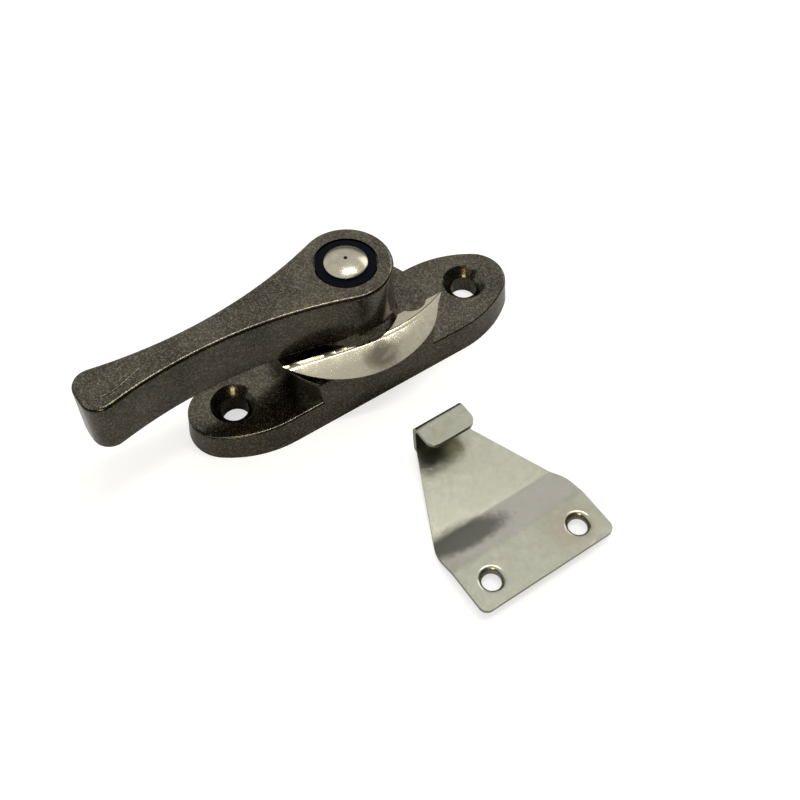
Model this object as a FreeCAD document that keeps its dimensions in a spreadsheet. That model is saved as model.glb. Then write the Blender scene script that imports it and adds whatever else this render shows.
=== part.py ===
"""Sliding window lock: a crescent latch on a cast base, and the folded keeper that it hooks.

Frame: millimetres, +Z up. The origin lies on the base's mounting face, midway between its two
screw holes. +X runs along the base, towards the end that the lever points away from, and -Y is
the side where the crescent stands out past the base. The keeper lies beside the latch on the
same surface, its mounting face level and its folded plate resting on the surface.
"""
import FreeCAD, Part

import math
import os
import sys

import Sketcher

os.makedirs("parts", exist_ok=True)

doc = FreeCAD.newDocument("window_lock")
V = FreeCAD.Vector

# Driving dimensions
SIZES = [
    ("screw_pitch", 60.0, "base screw holes, centre to centre"),
    ("screw_hole_r", 3.0, "base screw hole radius"),
    ("sink_r", 4.95, "countersink radius at the pad's top face"),
    ("screw_end", 10.4, "from a screw hole's centre to the base's end, on the mounting face"),
    ("end_run", 18.4, "length of each rounded end, from where the sides stop running straight"),
    ("base_half_wid", 11.7, "half the base's width on the mounting face"),
    ("nose_r", 8.2, "radius of the nose of each rounded end"),
    ("base_lean", 1.15, "how far the sides lean in from the mounting face to the pad"),
    ("end_lean", 0.5, "how far the ends lean in from the mounting face to the pad"),
    ("pad_top", 6.35, "height of the two end pads"),
    ("pad_edge_r", 0.5, "rounding of the pads' top edge"),
    ("boss_foot_r", 18.9, "radius of the round centre boss at the mounting face"),
    ("boss_r", 18.4, "radius of the round centre boss at its top"),
    ("boss_top", 11.7, "height of the centre boss"),
    ("boss_edge_r", 0.5, "rounding of the boss's top edge"),
    ("pivot_y", 1.8, "lever pivot, off the line of the screw holes"),
    ("skin", 2.4, "thickness of the casting over its hollow underside"),
    ("wall", 2.2, "thickness of the casting's outer wall"),
    ("screw_post_r", 6.6, "radius of the posts round the screw holes"),
    ("collar_r", 8.5, "radius of the bearing collar on the boss"),
    ("collar_top", 14.75, "height of the bearing collar"),
    ("plate_x", 14.0, "half length of the anchor plate"),
    ("plate_y", 7.4, "half width of the anchor plate"),
    ("plate_top", 5.7, "height of the anchor plate's upper face"),
    ("plate_t", 1.5, "thickness of the anchor plate"),
    ("play", 0.25, "gap round parts that drop into a pocket"),
    ("room_top", 9.2, "height of the ceiling over the stop washer"),
    ("room_r", 9.2, "radius of the room that the stop lug swings in"),
    ("stop_hub_r", 5.2, "radius of the stop washer"),
    ("stop_reach", 8.6, "reach of the stop washer's lug"),
    ("lug_w", 4.0, "width of the stop lug"),
    ("stop_gap", 0.3, "gap between the stop lug and its shoulder at either end of travel"),
    ("stop_low", 6.8, "height of the stop washer's lower face"),
    ("stop_t", 2.0, "thickness of the stop washer"),
    ("square_af", 6.3, "square on the sleeve's end, across flats"),
    ("fit_gap", 0.05, "gap on the radius of a turning or sliding fit"),
    ("spring_r", 5.0, "outer radius of the disc spring"),
    ("spring_in_r", 3.6, "inner radius of the disc spring"),
    ("spring_t", 0.4, "thickness of the disc spring's sheet"),
    ("spring_rise", 0.5, "rise of the disc spring from rim to bore"),
    ("pin_r", 2.0, "radius of the pivot pin"),
    ("journal_r", 4.45, "radius of the lever's sleeve"),
    ("spigot_r", 5.6, "radius of the spigot that drives the crescent"),
    ("spigot_flat", 4.7, "half the width of that spigot across its flats"),
    ("shim_r", 7.8, "radius of the thrust washer"),
    ("shim_t", 0.4, "thickness of the thrust washer"),
    ("sheet_t", 1.2, "thickness of the crescent's sheet"),
    ("fold_r", 33.9, "radius of the crescent's fold in plan, towards the short horn"),
    ("fold_left_r", 160.6, "radius of the fold towards the long horn"),
    ("fold_x", 5.45, "centre of the fold's tighter arc along the base"),
    ("fold_front", 9.24, "how far the fold's tighter arc reaches in front of the line of the screw holes"),
    ("fold_meet_deg", 7.5, "how far left of straight ahead the fold's two arcs meet"),
    ("fold_bend", 2.8, "outer bend radius at the fold"),
    ("skirt_deg", 26.0, "slope of the crescent's skirt"),
    ("rim_left_r", 23.4, "radius of the rim towards the long horn, at the web's height"),
    ("rim_right_r", 11.65, "radius of the rim towards the short horn, at the web's height"),
    ("rim_x", 0.67, "centre of the rim's wider arc along the base"),
    ("rim_front", 16.35, "how far the rim's wider arc reaches in front of the line of the screw holes"),
    ("rim_meet_deg", 26.8, "how far right of straight ahead the rim's two arcs meet"),
    ("long_horn_x", -19.4, "tip of the long horn along the base"),
    ("long_horn_y", -4.3, "back edge of the crescent at the long horn's tip"),
    ("long_horn_deg", 12.0, "slope of the long horn's back edge"),
    ("short_horn_x", 18.8, "tip of the short horn along the base"),
    ("short_horn_y", -6.1, "back edge of the crescent at its short horn"),
    ("short_horn_deg", 24.0, "how far round the rim the short horn's point begins"),
    ("notch_r", 3.5, "radius of the notch between the hub and the short horn"),
    ("notch_x", 12.05, "centre of the notch along the base"),
    ("notch_y", -3.9, "centre of the notch across the base"),
    ("web_r", 10.4, "radius of the crescent's web under the lever's hub"),
    ("lever_top", 30.0, "height of the lever's top face"),
    ("arm_deep", 13.0, "depth of the lever's arm"),
    ("hub_r", 9.75, "radius of the lever's hub"),
    ("flare_top", 19.0, "height where the hub starts to widen towards its foot"),
    ("hub_foot_r", 10.9, "radius of the hub where it meets the crescent"),
    ("waist_x", 36.0, "distance from the pivot to the arm's waist"),
    ("waist_half", 3.3, "half width of the arm at its waist"),
    ("grip_x", 58.9, "distance from the pivot to the grip's corners"),
    ("grip_bulge", 0.7, "how far the grip's end bows out past its corners"),
    ("grip_corner_r", 3.8, "corner radius of the grip"),
    ("lever_edge_r", 0.9, "rounding of the lever's edges"),
    ("cup_r", 6.7, "radius of the counterbore in the hub"),
    ("cup_deep", 1.2, "depth of the counterbore in the hub"),
    ("cap_washer_r", 6.35, "radius of the washer under the pin's head"),
    ("cap_washer_t", 1.05, "thickness of that washer"),
    ("head_r", 4.5, "radius of the pin's domed head"),
    ("head_rim", 0.5, "height of the head's straight rim"),
    ("head_dome", 1.2, "rise of the head's dome above its rim"),
    ("mark_r", 0.3, "radius of the centre mark in the head's dome"),
    ("mark_deep", 0.3, "depth of the centre mark in the head's dome"),
    ("tail_r", 3.2, "radius of the pin's riveted tail"),
    ("tail_h", 0.9, "height of the pin's riveted tail"),
    ("keep_x", 2.3, "keeper's centre line, from the middle of the base"),
    ("keep_t", 1.0, "thickness of the keeper's sheet"),
    ("keep_half", 16.3, "half width of the keeper's flange"),
    ("keep_front", -67.0, "front edge of the keeper's flange"),
    ("keep_step", 2.4, "height of the flange's mounting face"),
    ("ramp_front", -56.6, "foot of the flange, where the ramp starts"),
    ("ramp_back", -48.4, "foot of the ramp, where the plate starts"),
    ("plate_deg", 6.0, "rise of the keeper's plate towards the hook"),
    ("hook_back", -29.2, "where the hook leaves the plate"),
    ("hook_half", 5.75, "half width of the hook"),
    ("hook_top", 10.1, "height of the hook's lip"),
    ("hook_lean_deg", 7.0, "how far the hook's wall leans out"),
    ("hook_bend", 2.0, "outer bend radius at the top of the hook"),
    ("lip_front", -34.3, "edge of the hook's lip"),
    ("lip_corner_r", 2.2, "corner radius of the lip"),
    ("keep_bend", 1.5, "inner bend radius at either end of the ramp"),
    ("shoulder_half", 15.5, "half width of the keeper where its taper ends"),
    ("shoulder_high", -49.6, "where the keeper's taper ends"),
    ("shoulder_low", -53.4, "where the keeper's sides start to run straight"),
    ("shoulder_r", 9.0, "rounding between the taper and the straight sides"),
    ("flange_corner_r", 1.8, "corner radius of the flange"),
    ("keep_pitch", 21.6, "keeper screw holes, centre to centre"),
    ("keep_hole_y", -61.9, "line of the keeper's screw holes"),
    ("keep_hole_r", 2.0, "keeper screw hole radius"),
    ("dimple_r", 3.2, "radius where the flange rolls down into each keeper hole"),
    ("dimple_deep", 0.7, "how far each dimple stands out below the flange"),
]

dims = doc.addObject("Spreadsheet::Sheet", "dims")
for row, (alias, number, note) in enumerate(SIZES, start=1):
    dims.set("A%d" % row, alias)
    dims.set("B%d" % row, "%.6g" % number)
    dims.setAlias("B%d" % row, alias)
    dims.set("C%d" % row, note)
doc.recompute()


class Size:
    """A length or angle that knows both its number and the expression that gives it."""

    def __init__(self, number, text):
        self.number = number
        self.text = text

    def _join(self, other, sign, number):
        return Size(number, "(%s %s %s)" % (self.text, sign, size(other).text))

    def __add__(self, other):
        return self._join(other, "+", self.number + size(other).number)

    def __sub__(self, other):
        return self._join(other, "-", self.number - size(other).number)

    def __mul__(self, other):
        return self._join(other, "*", self.number * size(other).number)

    def __truediv__(self, other):
        return self._join(other, "/", self.number / size(other).number)

    def __neg__(self):
        return Size(-self.number, "(-1 * %s)" % self.text)


def size(value):
    """Take a plain number as a Size."""
    if isinstance(value, Size):
        return value
    return Size(float(value), "(%.6g)" % value)


def root(value):
    return Size(math.sqrt(value.number), "sqrt(%s)" % value.text)


def sine(value):
    return Size(math.sin(math.radians(value.number)), "sin(%s)" % value.text)


def cosine(value):
    return Size(math.cos(math.radians(value.number)), "cos(%s)" % value.text)


def tangent(value):
    return Size(math.tan(math.radians(value.number)), "tan(%s)" % value.text)


class Sheet:
    """The driving dimensions, read by name."""


S = Sheet()
for alias, number, note in SIZES:
    setattr(S, alias, Size(dims.get(alias), "dims." + alias))
ZERO = size(0.0)


def bind(thing, prop, value):
    """Set a property to a Size's number and tie it to the Size's expression."""
    value = size(value)
    thing.setExpression(prop, value.text)


def place(thing, x=ZERO, y=ZERO, z=ZERO):
    """Put an object at a place tied to the sheet."""
    for axis, value in zip("xyz", (x, y, z)):
        value = size(value)
        if value.text != ZERO.text:
            thing.setExpression("Placement.Base." + axis, value.text)


def box(name, low, high):
    thing = doc.addObject("Part::Box", name)
    low = [size(value) for value in low]
    high = [size(value) for value in high]
    for prop, a, b in zip(("Length", "Width", "Height"), low, high):
        bind(thing, prop, b - a)
    place(thing, *low)
    return thing


def cylinder(name, radius, low, high, x=ZERO, y=ZERO):
    thing = doc.addObject("Part::Cylinder", name)
    bind(thing, "Radius", radius)
    bind(thing, "Height", size(high) - low)
    place(thing, x, y, low)
    return thing


def cone(name, radius_low, radius_high, low, high, x=ZERO, y=ZERO):
    thing = doc.addObject("Part::Cone", name)
    bind(thing, "Radius1", radius_low)
    bind(thing, "Radius2", radius_high)
    bind(thing, "Height", size(high) - low)
    place(thing, x, y, low)
    return thing


def fuse(name, *things):
    thing = doc.addObject("Part::MultiFuse", name)
    thing.Shapes = list(things)
    thing.Refine = True
    return thing


def common(name, *things):
    thing = doc.addObject("Part::MultiCommon", name)
    thing.Shapes = list(things)
    return thing


def cut(name, base, tool):
    thing = doc.addObject("Part::Cut", name)
    thing.Base = base
    thing.Tool = tool
    return thing


def new_body(name):
    thing = doc.addObject("PartDesign::Body", name)
    thing.Label = name
    return thing


def new_sketch(body, name, role="XY_Plane", lift=None):
    """A sketch on one of a body's own planes, or level and free when body is None."""
    if body is None:
        sketch = doc.addObject("Sketcher::SketchObject", name)
        if lift is not None:
            bind(sketch, "Placement.Base.z", lift)
        return sketch
    sketch = body.newObject("Sketcher::SketchObject", name)
    support = [item for item in body.Origin.OriginFeatures if item.Role == role][0]
    sketch.AttachmentSupport = [(support, "")]
    sketch.MapMode = "FlatFace"
    if lift is not None:
        bind(sketch, "AttachmentOffset.Base.z", lift)
    return sketch


def tie(sketch, kind, *what):
    """Add a constraint whose last argument is a Size, tied to the sheet."""
    value = what[-1]
    index = sketch.addConstraint(Sketcher.Constraint(kind, *what[:-1], value.number))
    sketch.setExpression("Constraints[%d]" % index, value.text)


def draw_circle(sketch, x, y, radius):
    x, y, radius = size(x), size(y), size(radius)
    circle = Part.Circle(V(x.number, y.number, 0), V(0, 0, 1), radius.number)
    edge = sketch.addGeometry(circle, False)
    tie(sketch, "DistanceX", -1, 1, edge, 3, x)
    tie(sketch, "DistanceY", -1, 1, edge, 3, y)
    tie(sketch, "Radius", edge, radius)


def draw_outline(sketch, corners, bends=None):
    """A closed outline through corners. bends[i] = (radius, side) makes the edge that leaves
    corner i an arc, bowed to the left (side 1) or the right (side -1) of its way."""
    bends = bends or {}
    corners = [(size(x), size(y)) for x, y in corners]
    count = len(corners)
    ends = []
    for i in range(count):
        a = V(corners[i][0].number, corners[i][1].number, 0)
        b = V(corners[(i + 1) % count][0].number, corners[(i + 1) % count][1].number, 0)
        if i not in bends:
            edge = sketch.addGeometry(Part.LineSegment(a, b), False)
            ends.append((edge, 1, 2))
            continue
        radius, side = bends[i]
        chord = b - a
        left = V(-chord.y, chord.x, 0).normalize()
        half = chord.Length / 2
        drop = math.sqrt(max(radius.number ** 2 - half ** 2, 0.0))
        centre = (a + b) * 0.5 - left * (side * drop)
        circle = Part.Circle(centre, V(0, 0, 1), radius.number)
        first, last = circle.parameter(a), circle.parameter(b)
        if side > 0:
            first, last = last, first
        if last < first:
            last += 2 * math.pi
        edge = sketch.addGeometry(Part.ArcOfCircle(circle, first, last), False)
        ends.append((edge, 2, 1) if side > 0 else (edge, 1, 2))
        tie(sketch, "Radius", edge, radius)
    for i in range(count):
        edge, start, end = ends[i]
        after, after_start, after_end = ends[(i + 1) % count]
        sketch.addConstraint(Sketcher.Constraint("Coincident", edge, end, after, after_start))
    for i in range(count):
        edge, start, end = ends[i]
        tie(sketch, "DistanceX", -1, 1, edge, start, corners[i][0])
        tie(sketch, "DistanceY", -1, 1, edge, start, corners[i][1])


def pad(body, name, sketch, length, reverse=False):
    feature = body.newObject("PartDesign::Pad", name)
    feature.Profile = sketch
    bind(feature, "Length", length)
    feature.Reversed = reverse
    return feature


def pocket(body, name, sketch, depth, reverse=False):
    """Cut a sketch into the body, down from the sketch, or up from it when reverse is set."""
    doc.recompute()
    before = body.Shape.Volume
    feature = body.newObject("PartDesign::Pocket", name)
    feature.Profile = sketch
    bind(feature, "Length", depth)
    feature.Reversed = reverse
    doc.recompute()
    if not body.Shape.Volume < before:
        sys.exit("%s cuts nothing" % name)
    return feature


def turned(body, name, sketch):
    feature = body.newObject("PartDesign::Revolution", name)
    feature.Profile = sketch
    feature.ReferenceAxis = (sketch, ["V_Axis"])
    feature.Angle = 360
    return feature


def round_edges(body, name, radius, wanted):
    """Round the edges of the body's last feature that the function wanted picks out."""
    doc.recompute()
    last = body.Tip
    names = ["Edge%d" % (i + 1) for i, edge in enumerate(last.Shape.Edges) if wanted(edge)]
    feature = body.newObject("PartDesign::Fillet", name)
    feature.Base = (last, names)
    bind(feature, "Radius", radius)
    return feature


def near(a, b):
    return abs(a - b) < 0.01


def level_edge(height):
    """A test for edges that lie wholly at one height."""
    def wanted(edge):
        box_of = edge.BoundBox
        return near(box_of.ZMin, height) and near(box_of.ZMax, height)
    return wanted


# Base: a hollow zinc casting, two end pads with countersunk screw holes and a round centre boss
half_pitch = S.screw_pitch / 2
base_half_len = half_pitch + S.screw_end
straight = base_half_len - S.end_run


def base_outline(body, name, height, inset=ZERO, lift=None):
    """The base's outline at one height: straight sides, and ends that are a nose arc between two
    shoulder arcs, each tangent to the next."""
    share = size(height) / S.pad_top
    half_wid = S.base_half_wid - S.base_lean * share - inset
    reach = S.end_run - S.end_lean * share - inset
    nose = S.nose_r * half_wid / S.base_half_wid
    rest = reach - nose
    shoulder = (rest * rest + half_wid * half_wid - nose * nose) / ((half_wid - nose) * 2)
    joint_x = straight + rest + nose * rest / (shoulder - nose)
    joint_y = nose * (shoulder - half_wid) / (shoulder - nose)
    sketch = new_sketch(body, name, lift=height if lift is None else lift)
    corners = [
        (-straight, -half_wid), (straight, -half_wid), (joint_x, -joint_y), (joint_x, joint_y),
        (straight, half_wid), (-straight, half_wid), (-joint_x, joint_y), (-joint_x, -joint_y),
    ]
    bends = {edge: (shoulder, -1) for edge in (1, 3, 5, 7)}
    bends.update({edge: (nose, -1) for edge in (2, 6)})
    draw_outline(sketch, corners, bends)
    return sketch


def loft(body, name, low, high):
    feature = body.newObject("PartDesign::AdditiveLoft", name)
    feature.Profile = low
    feature.Sections = [high]
    feature.Ruled = True
    return feature


def extrude(name, sketch, height):
    thing = doc.addObject("Part::Extrusion", name)
    thing.Base = sketch
    thing.DirMode = "Custom"
    thing.Dir = V(0, 0, 1)
    thing.Solid = True
    bind(thing, "LengthFwd", height)
    return thing


def turned_away(body, name, sketch, along):
    """Cut a sketch on an upright plane round the upright line at a distance along that plane."""
    line = Part.LineSegment(V(along.number, 0, 0), V(along.number, 1, 0))
    axis = sketch.addGeometry(line, True)
    sketch.addConstraint(Sketcher.Constraint("Vertical", axis))
    tie(sketch, "DistanceX", -1, 1, axis, 1, along)
    tie(sketch, "DistanceY", -1, 1, axis, 1, ZERO)
    feature = body.newObject("PartDesign::Groove", name)
    feature.Profile = sketch
    feature.ReferenceAxis = (sketch, ["Axis0"])
    feature.Angle = 360
    return feature


block = new_body("base_block")
block_foot = base_outline(block, "block_foot", ZERO)
block_rim = base_outline(block, "block_rim", S.boss_top)
loft(block, "block_walls", block_foot, block_rim)
boss_side = new_sketch(block, "boss_side", "YZ_Plane")
beyond = base_half_len * 2
boss_foot = S.pivot_y + S.boss_foot_r - (S.boss_foot_r - S.boss_r) * S.pad_top / S.boss_top
draw_outline(boss_side, [
    (boss_foot, S.pad_top), (beyond, S.pad_top),
    (beyond, S.boss_top), (S.pivot_y + S.boss_r, S.boss_top),
])
turned_away(block, "boss_round", boss_side, S.pivot_y)


def pad_rim(edge):
    """The outer edge of the two pads' top faces."""
    room_of = edge.BoundBox
    past_boss = max(-room_of.XMin, room_of.XMax) > S.boss_foot_r.number + S.pivot_y.number
    return near(room_of.ZMin, S.pad_top.number) and near(room_of.ZMax, S.pad_top.number) and past_boss


round_edges(block, "pads_edge", S.pad_edge_r, pad_rim)
round_edges(block, "boss_edge", S.boss_edge_r, level_edge(S.boss_top.number))

collar = cylinder("collar", S.collar_r, S.boss_top - S.wall, S.collar_top, y=S.pivot_y)
casting = fuse("casting", block, collar)

hollow_top = S.pad_top - S.skin
hollow = extrude("hollow", base_outline(None, "hollow_rim", ZERO, S.wall, ZERO), hollow_top)
posts = []
for i, side in enumerate((-1, 1)):
    posts.append(cylinder("post_%d" % i, S.screw_post_r, ZERO, hollow_top, x=half_pitch * side))
core_x = S.plate_x + S.play + S.wall
core = box("core", (-core_x, -S.base_half_wid, ZERO), (core_x, S.base_half_wid, hollow_top))
hollow = cut("hollow_cut", hollow, fuse("hollow_keep", core, *posts))

nest_x = S.plate_x + S.play
nest_y = S.plate_y + S.play
nest = box("plate_nest", (-nest_x, -nest_y, ZERO), (nest_x, nest_y, S.plate_top))
sweep = cylinder("lug_sweep", S.room_r, S.plate_top, S.room_top, y=S.pivot_y)
shoulder_y = S.pivot_y + S.lug_w / 2 + S.stop_gap
shoulder_end = S.base_half_wid * 2
keep_back = box(
    "stop_shoulder", (-S.room_r, shoulder_y, S.plate_top), (S.room_r, shoulder_end, S.room_top))
room = cut("lug_room", sweep, keep_back)
hub_room = cylinder("hub_room", S.stop_hub_r + S.play, S.plate_top, S.room_top, y=S.pivot_y)
bore = cylinder("sleeve_bore", S.journal_r + S.fit_gap, S.plate_top, S.collar_top, y=S.pivot_y)
sinks = []
sink_low = S.pad_top - (S.sink_r - S.screw_hole_r)
for i, side in enumerate((-1, 1)):
    hole_x = half_pitch * side
    sinks.append(cylinder("screw_hole_%d" % i, S.screw_hole_r, ZERO, S.pad_top, x=hole_x))
    sinks.append(cone("sink_%d" % i, S.screw_hole_r, S.sink_r, sink_low, S.pad_top, x=hole_x))
base = cut("base", casting, fuse("base_tools", hollow, nest, room, hub_room, bore, *sinks))

# Pivot pin: nickelled steel rivet, its domed head above the lever and its tail set under the base
cup_floor = S.lever_top - S.cup_deep
head_low = cup_floor + S.cap_washer_t
rim_top = head_low + S.head_rim
dome_top = rim_top + S.head_dome
dome_r = (S.head_r * S.head_r + S.head_dome * S.head_dome) / (S.head_dome * 2)
mark_rim = dome_top - dome_r + root(dome_r * dome_r - S.mark_r * S.mark_r)
plate_low = S.plate_top - S.plate_t
tail_low = plate_low - S.tail_h
pivot_pin = new_body("pivot_pin")
place(pivot_pin, y=S.pivot_y)
pin_side = new_sketch(pivot_pin, "pin_side", "XZ_Plane")
draw_outline(pin_side, [
    (ZERO, tail_low), (S.pin_r, tail_low), (S.tail_r, plate_low), (S.pin_r, plate_low),
    (S.pin_r, head_low), (S.head_r, head_low), (S.head_r, rim_top), (S.mark_r, mark_rim),
    (ZERO, mark_rim - S.mark_deep),
], {6: (dome_r, -1)})
turned(pivot_pin, "pin_turned", pin_side)


def ring(name, inner, outer, low, high):
    """A flat washer on the pivot's line."""
    body = new_body(name)
    place(body, y=S.pivot_y)
    sketch = new_sketch(body, name + "_rings", lift=low)
    draw_circle(sketch, ZERO, ZERO, outer)
    draw_circle(sketch, ZERO, ZERO, inner)
    pad(body, name + "_pad", sketch, size(high) - low)
    return body


# Cap washer: dark nylon, between the pin's head and the lever
cap_washer = ring("cap_washer", S.pin_r + S.fit_gap, S.cap_washer_r, cup_floor, head_low)

# Thrust washer: steel, on the collar under the crescent
web_low = S.collar_top + S.shim_t
web_top = web_low + S.sheet_t
thrust_washer = ring("thrust_washer", S.journal_r + S.fit_gap, S.shim_r, S.collar_top, web_low)

# Anchor plate: steel, set up against the ledges of its nest and held by the pin's tail
anchor_plate = new_body("anchor_plate")
plate_sketch = new_sketch(anchor_plate, "plate_outline", lift=plate_low)
draw_outline(plate_sketch, [
    (-S.plate_x, -S.plate_y), (S.plate_x, -S.plate_y),
    (S.plate_x, S.plate_y), (-S.plate_x, S.plate_y),
])
draw_circle(plate_sketch, ZERO, S.pivot_y, S.pin_r + S.fit_gap / 2)
pad(anchor_plate, "plate_pad", plate_sketch, S.plate_t)

# Disc spring: a dished steel ring that loads the lever, its rim on the anchor plate
disc_spring = new_body("disc_spring")
place(disc_spring, y=S.pivot_y)
spring_side = new_sketch(disc_spring, "spring_side", "XZ_Plane")
spring_top = S.plate_top + S.spring_rise + S.spring_t
draw_outline(spring_side, [
    (S.spring_in_r, S.plate_top + S.spring_rise), (S.spring_r, S.plate_top),
    (S.spring_r, S.plate_top + S.spring_t), (S.spring_in_r, spring_top),
])
turned(disc_spring, "spring_turned", spring_side)


def draw_square(sketch, half):
    """A square about the sketch's origin."""
    draw_outline(sketch, [(-half, -half), (half, -half), (half, half), (-half, half)])


# Stop washer: steel, on the sleeve's square, with the lug that ends the lever's travel
stop_washer = new_body("stop_washer")
place(stop_washer, y=S.pivot_y)
stop_sketch = new_sketch(stop_washer, "stop_disc", lift=S.stop_low)
half_square = S.square_af / 2
draw_circle(stop_sketch, ZERO, ZERO, S.stop_hub_r)
draw_square(stop_sketch, half_square + S.fit_gap / 2)
pad(stop_washer, "stop_pad", stop_sketch, S.stop_t)
lug_sketch = new_sketch(stop_washer, "stop_lug", lift=S.stop_low)
half_lug = S.lug_w / 2
lug_root = S.stop_hub_r - S.play * 2
draw_outline(lug_sketch, [
    (lug_root, -half_lug), (S.stop_reach, -half_lug),
    (S.stop_reach, half_lug), (lug_root, half_lug),
])
pad(stop_washer, "stop_lug_pad", lug_sketch, S.stop_t)

# Lever handle: one zinc casting, a round hub with a long waisted arm, and the sleeve below the hub
lever_handle = new_body("lever_handle")
place(lever_handle, y=S.pivot_y)
arm_low = S.lever_top - S.arm_deep
arm_sketch = new_sketch(lever_handle, "arm_outline", lift=arm_low)
waist_out = S.waist_x * S.waist_x + S.waist_half * S.waist_half
side_r = (waist_out - S.hub_r * S.hub_r) / ((S.hub_r - S.waist_half) * 2)
touch = S.hub_r / (S.hub_r + side_r)
touch_x = S.waist_x * touch
touch_y = (S.waist_half + side_r) * touch
from_waist = S.grip_x - S.waist_x
grip_y = S.waist_half + side_r - root(side_r * side_r - from_waist * from_waist)
grip_end_r = (grip_y * grip_y + S.grip_bulge * S.grip_bulge) / (S.grip_bulge * 2)
draw_outline(arm_sketch, [
    (-touch_x, touch_y), (-S.grip_x, grip_y), (-S.grip_x, -grip_y), (-touch_x, -touch_y),
], {0: (side_r, 1), 1: (grip_end_r, -1), 2: (side_r, 1)})
pad(lever_handle, "arm_pad", arm_sketch, S.arm_deep)


def grip_corner(edge):
    """The upright edges at the grip's two corners."""
    room_of = edge.BoundBox
    at_end = near(room_of.XMin, -S.grip_x.number) and near(room_of.XMax, -S.grip_x.number)
    return at_end and near(room_of.ZLength, S.arm_deep.number)


def arm_under(edge):
    """The outline of the arm's underside, but for the line that lies inside the hub."""
    room_of = edge.BoundBox
    return near(room_of.ZMax, arm_low.number) and room_of.XMin < -S.waist_x.number


round_edges(lever_handle, "grip_corners", S.grip_corner_r, grip_corner)
round_edges(lever_handle, "arm_under_edge", S.lever_edge_r, arm_under)
hub_side = new_sketch(lever_handle, "hub_side", "XZ_Plane")
sleeve_low = spring_top + S.fit_gap
draw_outline(hub_side, [
    (ZERO, sleeve_low), (S.journal_r, sleeve_low), (S.journal_r, web_low), (S.spigot_r, web_low),
    (S.spigot_r, web_top), (S.hub_foot_r, web_top), (S.hub_r, S.flare_top),
    (S.hub_r, S.lever_top), (ZERO, S.lever_top),
])
turned(lever_handle, "hub_turned", hub_side)
round_edges(lever_handle, "lever_top_edge", S.lever_edge_r, level_edge(S.lever_top.number))
cup_sketch = new_sketch(lever_handle, "cup", lift=S.lever_top)
draw_circle(cup_sketch, ZERO, ZERO, S.cup_r)
pocket(lever_handle, "cup_pocket", cup_sketch, S.cup_deep)
pin_bore = new_sketch(lever_handle, "pin_bore", lift=S.lever_top)
draw_circle(pin_bore, ZERO, ZERO, S.pin_r + S.fit_gap)
pocket(lever_handle, "pin_bore_pocket", pin_bore, S.lever_top)
flats = new_sketch(lever_handle, "spigot_flats", lift=web_low)
over = S.spigot_r * 2
for side in (-1, 1):
    draw_outline(flats, [
        (S.spigot_flat * side, -over), (over * side, -over),
        (over * side, over), (S.spigot_flat * side, over),
    ])
pocket(lever_handle, "spigot_flats_pocket", flats, S.sheet_t, reverse=True)
square = new_sketch(lever_handle, "sleeve_square", lift=sleeve_low)
draw_circle(square, ZERO, ZERO, S.journal_r * 2)
draw_square(square, half_square)
square_top = S.stop_low + S.stop_t
pocket(lever_handle, "sleeve_square_pocket", square, square_top - sleeve_low, reverse=True)

# Crescent: nickelled sheet, a flat web under the hub and a skirt folded down along a wide arc
far = S.rim_left_r * 2
above = S.lever_top


def beside(name, x, y, angle, side):
    """The ground to one side, -1 left or 1 right, of the upright plane through a point. The plane
    runs straight ahead, along -Y, turned by an angle to the right."""
    ahead_x, ahead_y = sine(angle) * far, -cosine(angle) * far
    aside_x, aside_y = -ahead_y * side, ahead_x * side
    sketch = new_sketch(None, name + "_plan")
    draw_outline(sketch, [
        (x - ahead_x, y - ahead_y), (x + ahead_x, y + ahead_y),
        (x + ahead_x + aside_x, y + ahead_y + aside_y),
        (x - ahead_x + aside_x, y - ahead_y + aside_y),
    ])
    return extrude(name, sketch, above)


def dish(name, radius, x, y):
    """The sheet, folded down along one arc: flat within the fold, then the bend and the skirt."""
    bend_in = S.fold_bend - S.sheet_t
    bend_start = radius - S.fold_bend * tangent(S.skirt_deg / 2)
    bend_end = bend_start + S.fold_bend * sine(S.skirt_deg)
    bend_drop = S.fold_bend - S.fold_bend * cosine(S.skirt_deg)
    under_end = bend_start + bend_in * sine(S.skirt_deg)
    under_drop = bend_in - bend_in * cosine(S.skirt_deg)
    skirt_run = S.rim_left_r / 2
    skirt_fall = skirt_run * tangent(S.skirt_deg)
    body = new_body(name)
    place(body, x=x, y=y)
    section = new_sketch(body, name + "_section", "XZ_Plane")
    draw_outline(section, [
        (ZERO, web_low), (bend_start, web_low), (under_end, web_low - under_drop),
        (under_end + skirt_run, web_low - under_drop - skirt_fall),
        (bend_end + skirt_run, web_top - bend_drop - skirt_fall), (bend_end, web_top - bend_drop),
        (bend_start, web_top), (ZERO, web_top),
    ], {1: (bend_in, 1), 5: (S.fold_bend, 1)})
    turned(body, name + "_turned", section)
    return body


fold_y = S.fold_r - S.fold_front
fold_apart = S.fold_left_r - S.fold_r
fold_left_x = S.fold_x + fold_apart * sine(S.fold_meet_deg)
fold_left_y = fold_y + fold_apart * cosine(S.fold_meet_deg)
fold_left = common(
    "fold_left", dish("dish_left", S.fold_left_r, fold_left_x, fold_left_y),
    beside("left_of_fold", S.fold_x, fold_y, -S.fold_meet_deg, -1))
fold_right = common(
    "fold_right", dish("dish_right", S.fold_r, S.fold_x, fold_y),
    beside("right_of_fold", S.fold_x, fold_y, -S.fold_meet_deg, 1))
crescent_dish = fuse("crescent_dish", fold_left, fold_right)


def rim(name, radius, x, y):
    """A solid whose wall is square to the skirt and has the rim's radius at the web's height."""
    slope = tangent(S.skirt_deg)
    low_r = radius - (web_top - S.boss_top) * slope
    high_r = radius + (above - web_top) * slope
    return cone(name, low_r, high_r, S.boss_top, above, x=x, y=y)


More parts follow.
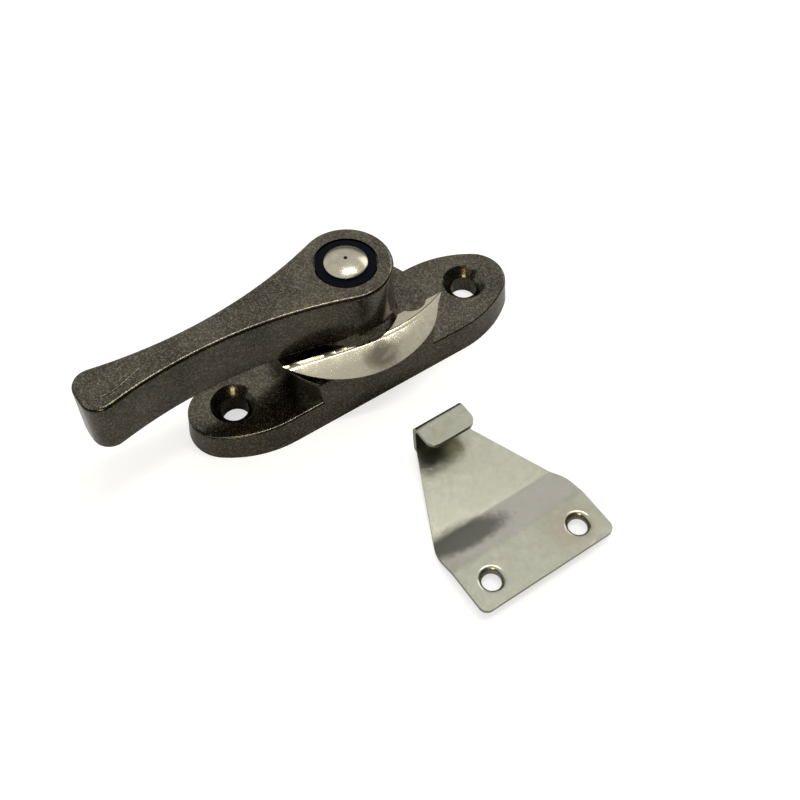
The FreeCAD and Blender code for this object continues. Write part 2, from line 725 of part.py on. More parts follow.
rim_y = S.rim_left_r - S.rim_front
rim_apart = S.rim_left_r - S.rim_right_r
rim_right_x = S.rim_x + rim_apart * sine(S.rim_meet_deg)
rim_right_y = rim_y - rim_apart * cosine(S.rim_meet_deg)
rim_left = common(
    "rim_left", rim("rim_left_cone", S.rim_left_r, S.rim_x, rim_y),
    beside("left_of_rim", S.rim_x, rim_y, S.rim_meet_deg, -1))
rim_right = common(
    "rim_right", rim("rim_right_cone", S.rim_right_r, rim_right_x, rim_right_y),
    beside("right_of_rim", S.rim_x, rim_y, S.rim_meet_deg, 1))

horn_back = new_sketch(None, "horn_back")
long_slope = tangent(S.long_horn_deg)
long_far_y = S.long_horn_y + (S.long_horn_x + far) * long_slope
long_root_y = S.long_horn_y + S.long_horn_x * long_slope
draw_outline(horn_back, [
    (-far, long_far_y), (ZERO, long_root_y), (ZERO, S.short_horn_y), (far, S.short_horn_y),
    (far, -far), (-far, -far),
])
horns = extrude("horns", horn_back, above)
blade = common("crescent_blade", fuse("crescent_rim", rim_left, rim_right), horns)
point_x = rim_right_x + S.rim_right_r * cosine(S.short_horn_deg)
point_y = rim_right_y - S.rim_right_r * sine(S.short_horn_deg)
short_point = new_sketch(None, "short_point")
draw_outline(short_point, [
    (rim_right_x, S.short_horn_y), (S.short_horn_x, S.short_horn_y), (point_x, point_y),
])
web_disc = cylinder("crescent_web", S.web_r, ZERO, above, y=S.pivot_y)
notch = cylinder("horn_notch", S.notch_r, ZERO, above, x=S.notch_x, y=S.notch_y)
drive_round = cylinder("drive_round", S.spigot_r + S.fit_gap / 2, ZERO, above, y=S.pivot_y)
drive_x = S.spigot_flat + S.fit_gap / 2
drive_low = (-drive_x, S.pivot_y - S.spigot_r * 2, ZERO)
drive_high = (drive_x, S.pivot_y + S.spigot_r * 2, above)
drive_hole = common("drive_hole", drive_round, box("drive_flats", drive_low, drive_high))
plan_blank = fuse("crescent_plan", blade, extrude("short_horn", short_point, above), web_disc)
blank = cut("crescent_blank", plan_blank, fuse("crescent_holes", drive_hole, notch))
crescent_cam = common("crescent_cam", crescent_dish, blank)

# Keeper: one stainless strip, a screw flange, a ramp down, a tapering plate and a rolled hook
keeper = new_body("keeper")
place(keeper, x=S.keep_x)
thick = S.keep_t
flange_top = S.keep_step + thick
plate_up = (S.hook_back - S.ramp_back) * tangent(S.plate_deg)
strip = new_sketch(keeper, "keeper_side", "YZ_Plane")
draw_outline(strip, [
    (S.keep_front, S.keep_step), (S.ramp_front, S.keep_step), (S.ramp_back, ZERO),
    (S.hook_back, plate_up), (S.hook_back, plate_up + thick), (S.ramp_back, thick),
    (S.ramp_front, flange_top), (S.keep_front, flange_top),
])


def across(feature):
    """Grow a pad to both sides of the keeper's middle line."""
    feature.SideType = "Symmetric"
    return feature


across(pad(keeper, "keeper_strip", strip, S.keep_half * 2))


def bend_line(y, z):
    """A test for the edge across the keeper at one place of its side view."""
    def wanted(edge):
        room_of = edge.BoundBox
        return near(room_of.YMin, y.number) and near(room_of.YMax, y.number) and \
            near(room_of.ZMin, z.number) and near(room_of.ZMax, z.number)
    return wanted


round_edges(keeper, "ramp_top_bend", S.keep_bend + thick, bend_line(S.ramp_front, flange_top))
round_edges(keeper, "ramp_top_inside", S.keep_bend, bend_line(S.ramp_front, S.keep_step))
round_edges(keeper, "ramp_foot_inside", S.keep_bend, bend_line(S.ramp_back, thick))
round_edges(keeper, "ramp_foot_bend", S.keep_bend + thick, bend_line(S.ramp_back, ZERO))

plan = new_sketch(keeper, "keeper_plan", lift=S.hook_top)
corner = S.flange_corner_r
outside = S.keep_half * 2
draw_outline(plan, [
    (-outside, S.keep_front - outside), (outside, S.keep_front - outside),
    (outside, outside), (-outside, outside),
])
shoulder = S.shoulder_r
draw_outline(plan, [
    (-S.keep_half + corner, S.keep_front), (S.keep_half - corner, S.keep_front),
    (S.keep_half, S.keep_front + corner), (S.keep_half, S.shoulder_low),
    (S.shoulder_half, S.shoulder_high), (S.hook_half, S.hook_back),
    (S.hook_half, S.hook_back + thick), (-S.hook_half, S.hook_back + thick),
    (-S.hook_half, S.hook_back), (-S.shoulder_half, S.shoulder_high),
    (-S.keep_half, S.shoulder_low), (-S.keep_half, S.keep_front + corner),
], {1: (corner, -1), 3: (shoulder, -1), 9: (shoulder, -1), 11: (corner, -1)})
pocket(keeper, "keeper_trim", plan, S.hook_top)

hook_side = new_sketch(keeper, "hook_side", "YZ_Plane")
lean = tangent(S.hook_lean_deg)
bend_in_r = S.hook_bend - thick
lean_cos = cosine(S.hook_lean_deg)
lean_sine = sine(S.hook_lean_deg)
root_z = plate_up + thick
inner_z = S.hook_top - S.hook_bend - bend_in_r * lean_sine
inner_y = S.hook_back + (inner_z - root_z) * lean
roll_y = inner_y - bend_in_r * lean_cos
outer_z = S.hook_top - S.hook_bend - S.hook_bend * lean_sine
outer_y = roll_y + S.hook_bend * lean_cos
heel_y = outer_y - (outer_z - plate_up) * lean
tuck_y = S.hook_back - thick / 2
tuck_fall = thick / 2 * tangent(S.plate_deg)
draw_outline(hook_side, [
    (tuck_y, plate_up - tuck_fall), (heel_y, plate_up), (outer_y, outer_z),
    (roll_y, S.hook_top), (S.lip_front, S.hook_top), (S.lip_front, S.hook_top - thick),
    (roll_y, S.hook_top - thick), (inner_y, inner_z), (S.hook_back, root_z),
    (tuck_y, root_z - tuck_fall),
], {2: (S.hook_bend, -1), 6: (bend_in_r, 1)})
across(pad(keeper, "keeper_hook", hook_side, S.hook_half * 2))
round_edges(keeper, "heel_bend", thick, bend_line(heel_y, plate_up))


def lip_corner(edge):
    """The short upright edges at the two corners of the hook's lip."""
    room_of = edge.BoundBox
    return near(room_of.YMin, S.lip_front.number) and near(room_of.YMax, S.lip_front.number) and \
        near(room_of.XLength, 0.0)


round_edges(keeper, "lip_corners", S.lip_corner_r, lip_corner)

hole_low = S.keep_step - S.dimple_deep
roll_r = S.dimple_r - S.keep_hole_r
for i, side in enumerate((-1, 1)):
    dimple = keeper.newObject("PartDesign::AdditiveCone", "dimple_%d" % i)
    bind(dimple, "Radius1", S.keep_hole_r + thick / 2)
    bind(dimple, "Radius2", S.keep_hole_r + thick / 2 + S.dimple_deep)
    bind(dimple, "Height", S.dimple_deep)
    place(dimple, S.keep_pitch / 2 * side, S.keep_hole_y, hole_low)
    roll = new_sketch(keeper, "hole_roll_%d_side" % i, "YZ_Plane", lift=S.keep_pitch / 2 * side)
    draw_outline(roll, [
        (S.keep_hole_y, flange_top), (S.keep_hole_y, flange_top - roll_r),
        (S.keep_hole_y + S.keep_hole_r, flange_top - roll_r), (S.keep_hole_y + S.dimple_r, flange_top),
    ], {2: (roll_r, 1)})
    turned_away(keeper, "hole_roll_%d" % i, roll, S.keep_hole_y)
holes = new_sketch(keeper, "keeper_holes", lift=flange_top)
for side in (-1, 1):
    draw_circle(holes, S.keep_pitch / 2 * side, S.keep_hole_y, S.keep_hole_r)
pocket(keeper, "keeper_hole_pocket", holes, thick + S.dimple_deep)

PIECES = [
    base, pivot_pin, cap_washer, thrust_washer, anchor_plate, disc_spring, stop_washer,
    lever_handle, crescent_cam, keeper,
]

doc.recompute()
for thing in doc.Objects:
    for flag in ("Invalid", "Error"):
        if flag in thing.State:
            sys.exit("%s is %s" % (thing.Name, flag))
for piece in PIECES:
    shape = piece.Shape
    if shape.isNull() or not shape.isValid() or not shape.Solids:
        sys.exit("%s has no sound solid" % piece.Label)
for piece in PIECES:
    piece.Shape.exportStep("parts/%s.step" % piece.Label)
    print("%-14s solids %d  volume %.2f" % (piece.Label, len(piece.Shape.Solids), piece.Shape.Volume))
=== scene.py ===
import math

import bmesh
import bpy
from mathutils import Matrix, Vector


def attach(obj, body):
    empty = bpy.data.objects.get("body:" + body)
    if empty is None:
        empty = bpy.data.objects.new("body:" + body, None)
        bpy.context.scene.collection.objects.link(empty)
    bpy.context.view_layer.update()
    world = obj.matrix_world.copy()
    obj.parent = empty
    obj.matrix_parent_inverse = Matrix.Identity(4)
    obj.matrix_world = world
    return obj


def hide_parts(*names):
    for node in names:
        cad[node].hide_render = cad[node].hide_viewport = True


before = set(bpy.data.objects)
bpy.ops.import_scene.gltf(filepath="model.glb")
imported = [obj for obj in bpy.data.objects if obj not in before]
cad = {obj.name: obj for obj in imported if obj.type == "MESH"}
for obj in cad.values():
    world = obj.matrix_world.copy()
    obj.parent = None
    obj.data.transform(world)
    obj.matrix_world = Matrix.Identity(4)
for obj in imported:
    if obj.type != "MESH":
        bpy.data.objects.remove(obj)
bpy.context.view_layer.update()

MM = 0.001

# The base: a zinc die casting, two screw pads and a round centre boss.
# It is sprayed with bronze hammertone paint, a dark coat full of fine metal flecks that dries
# slightly dimpled.
PAINT_DARK = (0.022, 0.018, 0.012, 1.0)
PAINT_LIGHT = (0.170, 0.148, 0.098, 1.0)
FLECK_SIZE = 0.24 * MM
DIMPLE_SIZE = 0.80 * MM
PAINT_RISE = 0.007 * MM
CAST_EDGE = 0.25 * MM
SHARP = math.radians(32.0)
LEVEL = math.radians(0.02)


def join_up(tree, kind, inputs=None, **settings):
    """Add a node, set its options, and give each input its number or the socket that feeds it."""
    made = tree.nodes.new(kind)
    for option, value in settings.items():
        setattr(made, option, value)
    for key, value in (inputs or {}).items():
        if isinstance(value, bpy.types.NodeSocket):
            tree.links.new(value, made.inputs[key])
        else:
            made.inputs[key].default_value = value
    return made


def sums(tree, operation, *values, clamp=False):
    """One Math node's result."""
    settings = {"operation": operation, "use_clamp": clamp}
    return join_up(tree, "ShaderNodeMath", dict(enumerate(values)), **settings).outputs[0]


def spread(tree, value, low, high, to_low=0.0, to_high=1.0):
    """Stretch a value's range from low..high to another, and hold it there."""
    inputs = {"Value": value, "From Min": low, "From Max": high, "To Min": to_low, "To Max": to_high}
    return join_up(tree, "ShaderNodeMapRange", inputs).outputs[0]


def tinted(tree, share, first, second):
    """A colour between two others."""
    return join_up(tree, "ShaderNodeMix", {0: share, 6: first, 7: second}, data_type="RGBA").outputs[2]


def new_group(name, takes, gives):
    """A shader group with named inputs, each with its usual value, and named outputs."""
    group = bpy.data.node_groups.new(name, "ShaderNodeTree")
    for label, kind, value in takes:
        socket = group.interface.new_socket(name=label, in_out="INPUT", socket_type="NodeSocket" + kind)
        socket.default_value = value
    for label, kind in gives:
        group.interface.new_socket(name=label, in_out="OUTPUT", socket_type="NodeSocket" + kind)
    return group, group.nodes.new("NodeGroupInput").outputs, group.nodes.new("NodeGroupOutput").inputs


def flecked_coat():
    """Hammertone paint: random metal flecks between two colours, over a soft dimpled surface."""
    group, takes, gives = new_group("flecked_coat", [
        ("Fleck Size", "Float", FLECK_SIZE), ("Dimple Size", "Float", DIMPLE_SIZE),
        ("Dark", "Color", PAINT_DARK), ("Light", "Color", PAINT_LIGHT),
    ], [("Color", "Color"), ("Roughness", "Float"), ("Height", "Float")])
    place = join_up(group, "ShaderNodeTexCoord").outputs["Object"]
    per_fleck = sums(group, "DIVIDE", 1.0, takes["Fleck Size"])
    per_dimple = sums(group, "DIVIDE", 1.0, takes["Dimple Size"])
    cells = join_up(group, "ShaderNodeTexVoronoi", {"Vector": place, "Scale": per_fleck})
    fleck = join_up(group, "ShaderNodeSeparateColor", {"Color": cells.outputs["Color"]}).outputs
    cloud = join_up(group, "ShaderNodeTexNoise", {"Vector": place, "Scale": per_dimple, "Detail": 2.0})
    drift = join_up(group, "ShaderNodeTexNoise", {"Vector": place, "Scale": 110.0, "Detail": 2.0})
    spark = sums(group, "POWER", fleck["Red"], 2.4)
    broad = sums(group, "MULTIPLY", drift.outputs["Fac"], 0.5)
    tone = sums(group, "MULTIPLY_ADD", spark, cloud.outputs["Fac"], broad)
    share = spread(group, tone, 0.22, 0.80)
    group.links.new(tinted(group, share, takes["Dark"], takes["Light"]), gives["Color"])
    group.links.new(spread(group, fleck["Green"], 0.0, 1.0, 0.18, 0.30), gives["Roughness"])
    relief = sums(group, "MULTIPLY_ADD", fleck["Blue"], 0.25, cloud.outputs["Fac"])
    group.links.new(relief, gives["Height"])
    return group


def new_material(name, **sockets):
    """A material's tree and its surface shader, with the values that are the same all over."""
    material = bpy.data.materials.new(name)
    material.use_nodes = True
    shader = material.node_tree.nodes["Principled BSDF"]
    for socket, value in sockets.items():
        shader.inputs[socket.replace("_", " ")].default_value = value
    return material, material.node_tree, shader


def feed(tree, shader, colour, rough, height, rise):
    """Join a finish's colour, roughness and relief to its shader."""
    bump = join_up(tree, "ShaderNodeBump", {"Height": height, "Strength": 1.0, "Distance": rise})
    tree.links.new(colour, shader.inputs["Base Color"])
    tree.links.new(rough, shader.inputs["Roughness"])
    tree.links.new(bump.outputs[0], shader.inputs["Normal"])


def settled(piece):
    """An object's mesh as its modifiers leave it, without them."""
    mesh = bpy.data.meshes.new_from_object(piece.evaluated_get(bpy.context.evaluated_depsgraph_get()))
    piece.modifiers.clear()
    piece.data = mesh
    return mesh


def dressed(node, name, edge, material):
    """A CAD solid's copy, its flats made whole and its sharp edges eased where an edge is given."""
    shape = bmesh.new()
    shape.from_mesh(cad[node].data)
    bmesh.ops.remove_doubles(shape, verts=shape.verts, dist=0.0004 * MM)
    bmesh.ops.dissolve_limit(
        shape, angle_limit=LEVEL, use_dissolve_boundaries=False,
        verts=shape.verts, edges=shape.edges)
    mesh = bpy.data.meshes.new(name)
    shape.to_mesh(mesh)
    shape.free()
    if "custom_normal" in mesh.attributes:
        mesh.attributes.remove(mesh.attributes["custom_normal"])
    mesh.shade_smooth()
    piece = bpy.data.objects.new(name, mesh)
    bpy.context.scene.collection.objects.link(piece)
    if edge:
        bevel = piece.modifiers.new("eased", "BEVEL")
        bevel.width = edge
        bevel.segments = 2
        bevel.limit_method = "ANGLE"
        bevel.angle_limit = SHARP
        bevel.use_clamp_overlap = True
        bevel.miter_outer = "MITER_ARC"
    eased = settled(piece)
    eased.shade_smooth()
    eased.set_sharp_from_angle(angle=SHARP)
    flats = piece.modifiers.new("true_flats", "WEIGHTED_NORMAL")
    flats.keep_sharp = True
    finished = settled(piece)
    finished.name = name
    finished.materials.clear()
    finished.materials.append(material)
    return piece


coat = flecked_coat()


def painted(name, rise):
    """The bronze paint as one material."""
    material, tree, shader = new_material(name, Metallic=1.0, Coat_Weight=0.6, Coat_Roughness=0.10)
    finish = join_up(tree, "ShaderNodeGroup", node_tree=coat).outputs
    feed(tree, shader, finish["Color"], finish["Roughness"], finish["Height"], rise)
    return material


base_paint = painted("base_paint", PAINT_RISE)
base_casting = dressed("base", "base_casting", CAST_EDGE, base_paint)
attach(base_casting, "fixed")
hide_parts("base")

# The pivot: a nickelled steel rivet with a domed head, on a black nylon washer.
# Its tail is set under the base, over a steel anchor plate and a dished spring ring.
STEEL = (0.42, 0.41, 0.39, 1.0)
STEEL_DULL = (0.24, 0.235, 0.225, 1.0)
NICKEL = (0.46, 0.435, 0.345, 1.0)
NICKEL_DULL = (0.38, 0.355, 0.275, 1.0)
NYLON = (0.0012, 0.0021, 0.0048, 1.0)
NYLON_WORN = (0.0026, 0.0042, 0.0085, 1.0)


def rubbed_metal():
    """Rolled or plated metal: slow changes of tone, small dark pits and fine rub marks."""
    group, takes, gives = new_group("rubbed_metal", [
        ("Bright", "Color", NICKEL), ("Dull", "Color", NICKEL_DULL), ("Cloud Size", "Float", 2.5 * MM),
        ("Pit Size", "Float", 0.16 * MM), ("Pits", "Float", 0.5), ("Turn", "Vector", (0.0, 0.0, 0.6)),
    ], [("Color", "Color"), ("Roughness", "Float"), ("Height", "Float"), ("Cloud", "Float")])
    place = join_up(group, "ShaderNodeTexCoord").outputs["Object"]
    cloud_scale = sums(group, "DIVIDE", 1.0, takes["Cloud Size"])
    pit_scale = sums(group, "DIVIDE", 1.0, takes["Pit Size"])
    cloud = join_up(group, "ShaderNodeTexNoise", {
        "Vector": place, "Scale": cloud_scale, "Detail": 5.0, "Roughness": 0.6,
    })
    pits = join_up(group, "ShaderNodeTexNoise", {"Vector": place, "Scale": pit_scale, "Detail": 1.0})
    along = join_up(group, "ShaderNodeMapping", {
        "Vector": place, "Rotation": takes["Turn"], "Scale": (1.0, 0.035, 1.0),
    }).outputs[0]
    marks = join_up(group, "ShaderNodeTexNoise", {"Vector": along, "Scale": 5200.0, "Detail": 2.0})
    pit_mask = spread(group, pits.outputs["Fac"], 0.63, 0.74)
    pit_share = sums(group, "MULTIPLY", pit_mask, takes["Pits"])
    mark_mask = spread(group, marks.outputs["Fac"], 0.60, 0.74)
    tone = spread(group, cloud.outputs["Fac"], 0.36, 0.64)
    less_pits = sums(group, "SUBTRACT", tone, pit_share, clamp=True)
    group.links.new(tinted(group, less_pits, takes["Dull"], takes["Bright"]), gives["Color"])
    plain = spread(group, cloud.outputs["Fac"], 0.3, 0.7, 0.24, 0.17)
    marked = sums(group, "MULTIPLY_ADD", mark_mask, 0.05, plain)
    group.links.new(marked, gives["Roughness"])
    dents = sums(group, "MULTIPLY_ADD", pit_mask, -1.0, sums(group, "MULTIPLY", mark_mask, -0.35))
    group.links.new(dents, gives["Height"])
    group.links.new(tone, gives["Cloud"])
    return group


metal = rubbed_metal()


def metal_finish(name, bright, dull, pits, cloud, **sockets):
    """A metal material's tree, shader and the outputs of its surface."""
    material, tree, shader = new_material(name, Metallic=1.0, **sockets)
    finish = join_up(tree, "ShaderNodeGroup", node_tree=metal)
    for label, value in (("Bright", bright), ("Dull", dull), ("Pits", pits), ("Cloud Size", cloud)):
        finish.inputs[label].default_value = value
    return material, tree, shader, finish.outputs


def soft_patch():
    """A blurred oval patch with a ragged edge, 1 inside and 0 outside."""
    group, takes, gives = new_group("soft_patch", [
        ("Middle", "Vector", (0.0, 0.0, 0.0)), ("Reach", "Vector", (MM, MM, MM)),
        ("Turn", "Vector", (0.0, 0.0, 0.0)), ("Blur", "Float", 0.4), ("Ragged", "Float", 0.5),
    ], [("Mask", "Float")])
    place = join_up(group, "ShaderNodeTexCoord").outputs["Object"]
    inside = join_up(group, "ShaderNodeMapping", {
        "Vector": place, "Location": takes["Middle"], "Rotation": takes["Turn"], "Scale": takes["Reach"],
    }, vector_type="TEXTURE").outputs[0]
    far = join_up(group, "ShaderNodeVectorMath", {0: inside}, operation="LENGTH").outputs["Value"]
    noise = join_up(group, "ShaderNodeTexNoise", {"Vector": place, "Scale": 900.0, "Detail": 5.0})
    grain = noise.outputs["Fac"]
    shift = sums(group, "MULTIPLY", sums(group, "SUBTRACT", grain, 0.5), takes["Ragged"])
    ragged = sums(group, "ADD", far, shift)
    low = sums(group, "SUBTRACT", 1.0, takes["Blur"])
    high = sums(group, "ADD", 1.0, takes["Blur"])
    inputs = {"Value": ragged, "From Min": low, "From Max": high, "To Min": 1.0, "To Max": 0.0}
    mask = join_up(group, "ShaderNodeMapRange", inputs, interpolation_type="SMOOTHSTEP").outputs[0]
    group.links.new(mask, gives["Mask"])
    return group


patch = soft_patch()


def stains_and_shade(tree, colour, stains):
    """Lay soft patches over a colour. Each has its middle, reach and turn, its blur, tint and share."""
    for middle, reach, turn, blur, tint, share in stains:
        mark = join_up(tree, "ShaderNodeGroup", node_tree=patch)
        mark.inputs["Middle"].default_value = [along * MM for along in middle]
        mark.inputs["Reach"].default_value = [along * MM for along in reach]
        mark.inputs["Turn"].default_value = (0.0, 0.0, math.radians(turn))
        mark.inputs["Blur"].default_value = blur
        cover = sums(tree, "MULTIPLY", mark.outputs["Mask"], share)
        colour = tinted(tree, cover, colour, tint)
    return colour


rivet_nickel, tree, shader, finish = metal_finish("rivet_nickel", NICKEL, NICKEL_DULL, 0.5, 1.6 * MM)
# The near-black dot on the dome's tiny centre mark is painted shade for the small hole there, not dirt.
centre_pit_shade = stains_and_shade(tree, finish["Color"], [
    ((0.0, 1.8, 31.3), (0.42, 0.42, 9.0), 0.0, 0.25, (0.01, 0.009, 0.007, 1.0), 1.0),
])
feed(tree, shader, centre_pit_shade, finish["Roughness"], finish["Height"], 0.006 * MM)
rivet = dressed("pivot_pin", "rivet", 0.08 * MM, rivet_nickel)
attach(rivet, "fixed")
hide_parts("pivot_pin")

nylon, tree, shader = new_material("nylon", Specular_IOR_Level=0.035)
place = join_up(tree, "ShaderNodeTexCoord").outputs["Object"]
noise = join_up(tree, "ShaderNodeTexNoise", {"Vector": place, "Scale": 2600.0, "Detail": 3.0})
grain = noise.outputs["Fac"]
shade = tinted(tree, spread(tree, grain, 0.35, 0.65), NYLON, NYLON_WORN)
feed(tree, shader, shade, spread(tree, grain, 0.3, 0.7, 0.48, 0.62), grain, 0.01 * MM)
head_washer = dressed("cap_washer", "head_washer", 0.10 * MM, nylon)
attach(head_washer, "fixed")
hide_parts("cap_washer")

plain_steel, tree, shader, finish = metal_finish("plain_steel", STEEL, STEEL_DULL, 0.7, 3.0 * MM)
feed(tree, shader, finish["Color"], finish["Roughness"], finish["Height"], 0.015 * MM)
for node in ("thrust_washer", "anchor_plate", "disc_spring", "stop_washer"):
    cad[node].data.materials.clear()
    cad[node].data.materials.append(plain_steel)

# The lever: one zinc casting in the same paint, a round hub with a long waisted arm.
# Near the grip's end a slender raised sliver is cast on its top face.
lever_paint = painted("lever_paint", PAINT_RISE)
lever_casting = dressed("lever_handle", "lever_casting", CAST_EDGE, lever_paint)
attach(lever_casting, "lever")
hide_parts("lever_handle")

SLIVER_PATH = ((-56.5, 0.2), (-55.0, -0.5), (-52.0, -0.2), (-46.7, 1.5))
SLIVER_WIDTH = 0.5 * MM
SLIVER_RISE = 0.5
SLIVER_STEPS = 48
LEVER_TOP = 30.0
sliver_line = bpy.data.meshes.new("sliver_line")
sliver_points = [(x * MM, y * MM, LEVER_TOP * MM) for x, y in SLIVER_PATH]
sliver_line.from_pydata(sliver_points, [(0, 1), (1, 2), (2, 3)], [])
sliver = bpy.data.objects.new("grip_sliver", sliver_line)
bpy.context.scene.collection.objects.link(sliver)
growth = bpy.data.node_groups.new("tapered_bead", "GeometryNodeTree")
keys = {}
for label, kind, value in (("Geometry", "Geometry", None), ("Width", "Float", SLIVER_WIDTH),
                           ("Rise", "Float", SLIVER_RISE), ("Steps", "Int", SLIVER_STEPS),
                           ("Finish", "Material", None)):
    socket = growth.interface.new_socket(name=label, in_out="INPUT", socket_type="NodeSocket" + kind)
    keys[label] = socket.identifier
    if value is not None:
        socket.default_value = value
growth.interface.new_socket(name="Geometry", in_out="OUTPUT", socket_type="NodeSocketGeometry")
takes = growth.nodes.new("NodeGroupInput").outputs
line = join_up(growth, "GeometryNodeMeshToCurve", {0: takes["Geometry"]}).outputs[0]
smooth = join_up(growth, "GeometryNodeCurveSplineType", {0: line}, spline_type="CATMULL_ROM").outputs[0]
even = join_up(growth, "GeometryNodeResampleCurve", {0: smooth, "Count": takes["Steps"]}).outputs[0]
level = join_up(growth, "GeometryNodeSetCurveNormal", {0: even}, mode="Z_UP").outputs[0]
share = join_up(growth, "GeometryNodeSplineParameter").outputs["Factor"]
swell = sums(growth, "SINE", sums(growth, "MULTIPLY", share, math.pi))
taper = join_up(growth, "GeometryNodeSetCurveRadius", {0: level, "Radius": swell}).outputs[0]
half = sums(growth, "MULTIPLY", takes["Width"], 0.5)
ring = join_up(growth, "GeometryNodeCurvePrimitiveCircle", {"Resolution": 16, "Radius": half}).outputs[0]
flat = join_up(growth, "ShaderNodeCombineXYZ", {0: 1.0, 1: takes["Rise"], 2: 1.0}).outputs[0]
oval = join_up(growth, "GeometryNodeTransform", {0: ring, "Scale": flat}).outputs[0]
bead = join_up(growth, "GeometryNodeCurveToMesh", {0: taper, "Profile Curve": oval}).outputs[0]
whole = join_up(growth, "GeometryNodeRealizeInstances", {0: bead}).outputs[0]
coated = join_up(growth, "GeometryNodeSetMaterial", {0: whole, "Material": takes["Finish"]}).outputs[0]
growth.links.new(coated, growth.nodes.new("NodeGroupOutput").inputs[0])
grown = sliver.modifiers.new("grown", "NODES")
grown.node_group = growth
grown[keys["Width"]] = SLIVER_WIDTH
grown[keys["Rise"]] = SLIVER_RISE
grown[keys["Steps"]] = SLIVER_STEPS
grown[keys["Finish"]] = lever_paint
settled(sliver).shade_smooth()
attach(sliver, "lever")

# The crescent: nickelled sheet steel, its skirt pressed down along a wide arc.
# Its plating has a brown line along the start of the bend and a grey mark on the skirt.
RUST = (0.14, 0.085, 0.030, 1.0)
nickel_sheet, tree, shader, finish = metal_finish("nickel_sheet", NICKEL, NICKEL_DULL, 0.6, 2.2 * MM)
place = join_up(tree, "ShaderNodeTexCoord").outputs["Object"]
up = join_up(tree, "ShaderNodeSeparateXYZ", {0: place}).outputs["Z"]
begun = spread(tree, up, 16.345 * MM, 16.335 * MM)
ended = spread(tree, up, 16.24 * MM, 16.29 * MM)
uneven = spread(tree, finish["Cloud"], 0.0, 0.6)
rust = sums(tree, "MULTIPLY", sums(tree, "MULTIPLY", begun, ended), uneven)
marks = stains_and_shade(tree, tinted(tree, rust, finish["Color"], RUST), [
    ((-0.8, -11.9, 13.5), (3.4, 2.7, 9.0), -12.0, 0.55, (0.085, 0.078, 0.058, 1.0), 0.80),
    ((2.0, -12.2, 13.5), (2.6, 0.5, 9.0), 12.0, 0.60, (0.30, 0.28, 0.23, 1.0), 0.7),
])
feed(tree, shader, marks, finish["Roughness"], finish["Height"], 0.003 * MM)
crescent = dressed("crescent_cam", "crescent", 0.0, nickel_sheet)
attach(crescent, "lever")
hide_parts("crescent_cam")

# The keeper: one stainless strip, folded into a screw flange, a ramp, a plate and a rolled hook.
# It is satin from rolling, with brown and grey patches by its bends and its right hole.
STAINLESS = (0.435, 0.44, 0.365, 1.0)
STAINLESS_DULL = (0.37, 0.375, 0.31, 1.0)
stainless, tree, shader, finish = metal_finish("stainless", STAINLESS, STAINLESS_DULL, 0.9, 3.0 * MM)
marks = stains_and_shade(tree, finish["Color"], [
    ((2.3, -52.5, 2.0), (18.0, 4.2, 9.0), 0.0, 0.25, (0.44, 0.42, 0.385, 1.0), 0.8),
    ((-7.0, -50.6, 2.0), (9.5, 3.2, 9.0), -6.0, 0.35, (0.11, 0.11, 0.095, 1.0), 0.9),
    ((0.6, -33.0, 2.5), (4.6, 4.6, 9.0), 0.0, 0.45, (0.30, 0.28, 0.22, 1.0), 0.3),
    ((11.5, -61.0, 3.0), (6.0, 4.5, 9.0), 0.0, 0.60, (0.33, 0.28, 0.21, 1.0), 0.5),
])
feed(tree, shader, marks, finish["Roughness"], finish["Height"], 0.012 * MM)
keeper = dressed("keeper", "keeper_strip", 0.12 * MM, stainless)
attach(keeper, "fixed")
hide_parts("keeper")

# The table and the studio: a white sheet under and behind the lock, soft lamps above it.
FLOOR_HALF = 1.2
FLOOR_DROP = 0.02 * MM
floor_mesh = bpy.data.meshes.new("floor")
corners = [(x * FLOOR_HALF, y * FLOOR_HALF, -FLOOR_DROP) for x, y in ((-1, -1), (1, -1), (1, 1), (-1, 1))]
floor_mesh.from_pydata(corners, [], [(0, 1, 2, 3)])
floor = bpy.data.objects.new("floor", floor_mesh)
bpy.context.scene.collection.objects.link(floor)
white, tree, shader = new_material("white_sheet", Base_Color=(0.50, 0.50, 0.50, 1.0), Roughness=0.9)
shader.inputs["Emission Color"].default_value = (1.0, 1.0, 1.0, 1.0)
ray = join_up(tree, "ShaderNodeLightPath").outputs
tree.links.new(sums(tree, "MULTIPLY", ray["Is Camera Ray"], 0.62), shader.inputs["Emission Strength"])
floor_mesh.materials.append(white)

world = bpy.data.worlds.new("studio")
bpy.context.scene.world = world
world.use_nodes = True
tree = world.node_tree
tree.nodes.clear()
way = join_up(tree, "ShaderNodeTexCoord").outputs["Generated"]
parts = join_up(tree, "ShaderNodeSeparateXYZ", {0: way}).outputs
ahead = sums(tree, "MINIMUM", parts["Y"], 0.0)
astern = sums(tree, "MAXIMUM", parts["Y"], 0.0)
height = sums(tree, "MULTIPLY_ADD", astern, 0.25, sums(tree, "MULTIPLY_ADD", ahead, 0.9, parts["Z"]))
canopy = join_up(tree, "ShaderNodeMapRange", {
    "Value": height, "From Min": 0.28, "From Max": 0.52, "To Min": 0.04, "To Max": 0.95,
}, interpolation_type="SMOOTHSTEP").outputs[0]
FLAG_WAY = (0.270, -0.400, 0.876)
near = join_up(tree, "ShaderNodeVectorMath", {0: way, 1: FLAG_WAY}, operation="DOT_PRODUCT")
towards = near.outputs["Value"]
flag = join_up(tree, "ShaderNodeMapRange", {
    "Value": towards, "From Min": 0.980, "From Max": 0.998, "To Min": 1.0, "To Max": 0.55,
}, interpolation_type="SMOOTHSTEP").outputs[0]
sky = tinted(tree, sums(tree, "MULTIPLY", canopy, flag), (0.0, 0.0, 0.0, 1.0), (1.0, 0.99, 0.96, 1.0))
ray = join_up(tree, "ShaderNodeLightPath").outputs
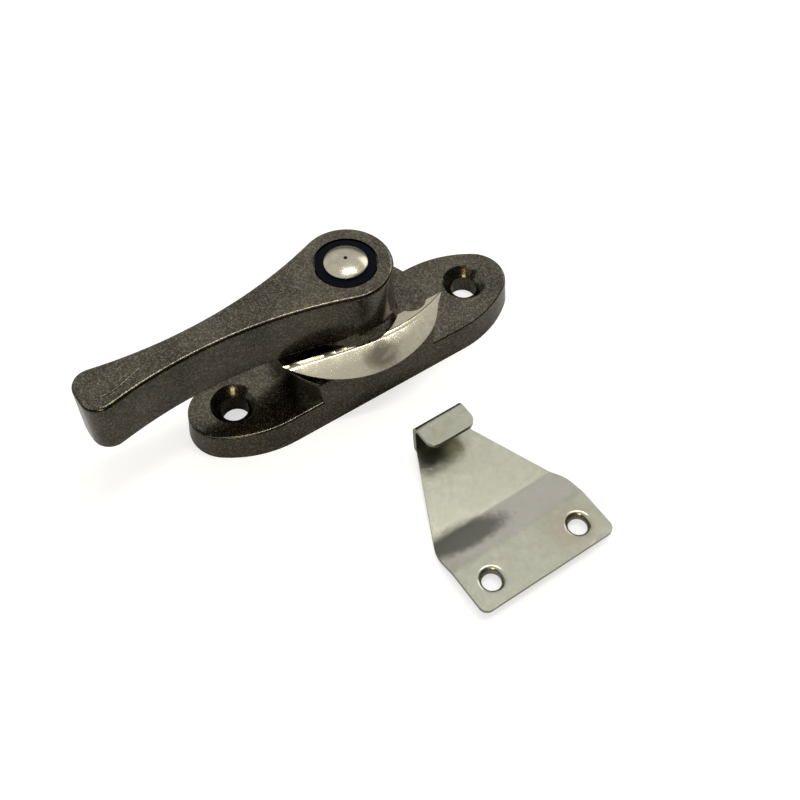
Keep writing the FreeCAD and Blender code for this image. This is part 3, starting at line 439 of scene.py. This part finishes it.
around = join_up(tree, "ShaderNodeBackground", {"Color": sky, "Strength": 1.0})
behind = join_up(tree, "ShaderNodeBackground", {"Color": (1.0, 1.0, 1.0, 1.0), "Strength": 1.0})
mixed = join_up(tree, "ShaderNodeMixShader", {
    0: ray["Is Camera Ray"], 1: around.outputs[0], 2: behind.outputs[0],
})
join_up(tree, "ShaderNodeOutputWorld", {"Surface": mixed.outputs[0]})


def soft_lamp(name, spot, aim, wide, tall, watts, tint):
    """A rectangular soft box that shines from one spot towards another."""
    lamp = bpy.data.lights.new(name, "AREA")
    lamp.shape = "RECTANGLE"
    lamp.size = wide
    lamp.size_y = tall
    lamp.energy = watts
    lamp.color = tint
    holder = bpy.data.objects.new(name, lamp)
    bpy.context.scene.collection.objects.link(holder)
    holder.location = spot
    holder.rotation_euler = (Vector(aim) - Vector(spot)).to_track_quat("-Z", "Y").to_euler()
    return holder


soft_lamp("side_box", (0.86, 0.16, 0.42), (0.0, -0.02, 0.0), 0.50, 0.50, 1.4, (1.0, 0.98, 0.95))
soft_lamp("overhead", (0.085, -0.032, 0.62), (0.0, 0.0, 0.0), 0.05, 0.31, 1.2, (1.0, 0.96, 0.86))
soft_lamp("low_gold", (-0.25, -0.40, 0.34), (0.03, 0.0, 0.0), 0.16, 0.10, 0.5, (1.0, 0.84, 0.50))

# The camera: above the lock and in front of it to the left, where the photograph was taken.
AZIMUTH = math.radians(35.28)
DIP = math.radians(55.16)
ROLL = math.radians(0.98)
VIEWPOINT = (-0.08054, -0.1319, 0.20534)
camera = bpy.data.cameras.new("camera")
camera.lens = 51.75
camera.sensor_width = 36.0
camera.clip_start = 0.01
holder = bpy.data.objects.new("camera", camera)
bpy.context.scene.collection.objects.link(holder)
tilted = Matrix.Rotation(math.pi / 2 - DIP, 4, "X") @ Matrix.Rotation(ROLL, 4, "Z")
turned = Matrix.Rotation(-AZIMUTH, 4, "Z") @ tilted
holder.matrix_world = Matrix.Translation(VIEWPOINT) @ turned
bpy.context.scene.camera = holder
bpy.context.scene.view_settings.view_transform = "Standard"
